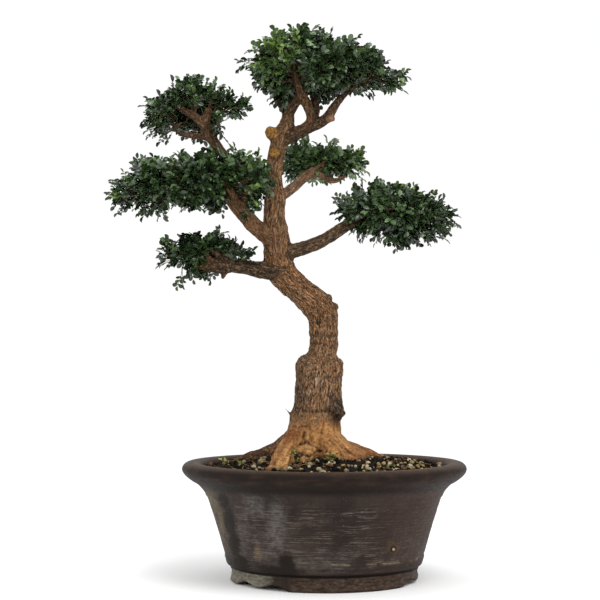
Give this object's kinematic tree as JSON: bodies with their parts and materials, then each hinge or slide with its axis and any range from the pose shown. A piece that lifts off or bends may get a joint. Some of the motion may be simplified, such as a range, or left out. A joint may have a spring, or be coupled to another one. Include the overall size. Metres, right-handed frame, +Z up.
{
  "type": "bonsai tree in a pot",
  "caption": "Chinese pepper bonsai: crooked trunk on spreading surface roots, flat pads of pinnate leaves, round footed stoneware pot.",
  "frame": {"origin": "on the table the pot stands on, below the middle of the bounding box's width and depth", "axes": "+Z up, -Y towards the tree's front, +X to the right when seen from the front"},
  "size_m": [0.4331, 0.3396, 0.6636],
  "materials": {
    "stoneware": "matte",
    "mesh": "matte",
    "grit": "matte",
    "soil": "matte",
    "bark": "matte",
    "leaves": "satin"
  },
  "bodies": {
    "root": {"pot": "stoneware", "drain_screen": "mesh", "drainage_layer": "grit", "soil": "soil", "trunk_and_branches": "bark", "foliage_top": "leaves", "foliage_upper_left": "leaves", "foliage_middle_left": "leaves", "foliage_lower_left": "leaves", "foliage_back": "leaves", "foliage_right": "leaves"}
  },
  "joints": []
}
